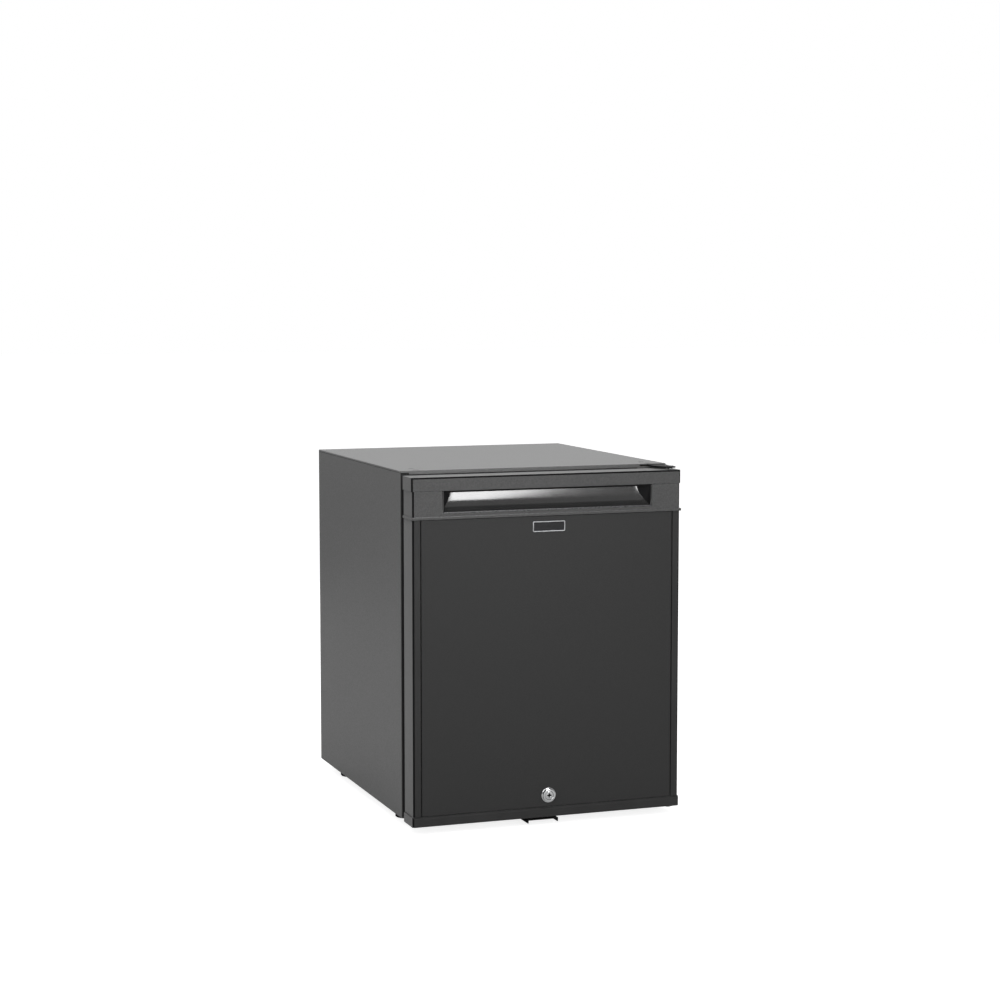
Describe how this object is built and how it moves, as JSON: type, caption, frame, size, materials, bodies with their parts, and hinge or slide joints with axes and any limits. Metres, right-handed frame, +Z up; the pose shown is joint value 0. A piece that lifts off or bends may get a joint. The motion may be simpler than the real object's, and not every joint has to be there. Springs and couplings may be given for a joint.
{
  "type": "minibar fridge",
  "caption": "Small absorption minibar fridge with a hinged locking door, recessed grip, wire shelves, door racks and an open-backed cooling unit.",
  "frame": {"origin": "on the floor, under the middle of the whole fridge", "axes": "+Z up, -Y towards the door's front, +X to the hinge side"},
  "size_m": [0.402, 0.482, 0.504],
  "materials": {
    "painted_steel": "dark grey powder coat, satin",
    "dark_moulding": "moulded dark grey, satin",
    "door_panel": "dark grey laminated sheet with a fine grain",
    "gloss_black": "polished black",
    "black_steel": "black, satin",
    "black_rubber": "matt",
    "chrome": "polished",
    "zinc": "bare zinc coated",
    "white_plastic": "moulded white",
    "foam": "rigid foam",
    "aluminium": "extruded, plain",
    "black_tube": "black paint on steel tube",
    "grey_plastic": "moulded grey"
  },
  "bodies": {
    "cabinet": {"cabinet_wrap": "painted_steel", "base_pan": "painted_steel", "rear_panel": "zinc", "cabinet_liner": "white_plastic", "cabinet_insulation": "foam", "foot_front_left": "black_rubber", "foot_front_right": "black_rubber", "foot_rear_left": "black_rubber", "foot_rear_right": "black_rubber", "top_hinge_plate": "black_steel", "top_hinge_pin": "zinc", "bottom_hinge_plate": "black_steel", "bottom_hinge_pin": "zinc", "hinge_screw_front": "zinc", "hinge_screw_rear": "zinc", "spare_hole_insert": "dark_moulding", "lock_strike": "black_steel", "door_switch_body": "white_plastic", "shelf_lower": "white_plastic", "shelf_upper": "white_plastic", "evaporator_fins": "aluminium", "evaporator_tube": "black_tube", "drip_tray": "white_plastic", "drain_tube": "grey_plastic", "thermostat_housing": "white_plastic", "lamp_lens": "white_plastic", "boiler": "zinc", "boiler_strap": "zinc", "condenser": "black_tube", "absorber_coil": "black_tube", "absorber_vessel": "black_tube", "unit_bracket_left": "zinc", "unit_bracket_right": "zinc", "control_box": "grey_plastic", "mains_inlet": "dark_moulding", "heater_lead": "black_rubber", "condensate_tray": "dark_moulding"},
    "door": {"door_top_cap": "dark_moulding", "handle_band": "dark_moulding", "side_profile_left": "dark_moulding", "side_profile_right": "dark_moulding", "bottom_rail": "dark_moulding", "door_hole_plug": "dark_moulding", "front_panel": "door_panel", "front_plate": "gloss_black", "handle_scoop": "gloss_black", "door_insulation": "foam", "door_liner": "white_plastic", "door_gasket": "black_rubber", "door_rack_lower": "white_plastic", "door_rack_middle": "white_plastic", "door_rack_upper": "white_plastic", "top_hinge_bush": "grey_plastic", "bottom_hinge_bush": "grey_plastic", "lock_body": "chrome", "lock_nut": "zinc"},
    "lock_barrel": {"lock_cylinder": "chrome", "lock_cam": "zinc"},
    "thermostat_dial": {"thermostat_knob": "white_plastic"},
    "switch_plunger": {"door_switch_plunger": "white_plastic"}
  },
  "joints": [
    {"name": "door_swing", "type": "hinge", "parent": "cabinet", "child": "door", "pos_m": [0.19, -0.223, 0.25], "axis": [0, 0, 1], "range_deg": [0, 120]},
    {"name": "lock_turn", "type": "hinge", "parent": "door", "child": "lock_barrel", "pos_m": [0, -0.237, 0.044], "axis": [0, -1, 0], "range_deg": [0, 90]},
    {"name": "thermostat_turn", "type": "hinge", "parent": "cabinet", "child": "thermostat_dial", "pos_m": [0.1419, -0.067, 0.428], "axis": [-1, 0, 0], "range_deg": [0, 270]},
    {"name": "switch_slide", "type": "slide", "parent": "cabinet", "child": "switch_plunger", "axis": [0, -1, 0], "range_m": [0, 0.0045]}
  ],
  "couplings": [
    {"joint": "switch_slide", "follows": "door_swing", "m_per_rad": 0.00214}
  ]
}
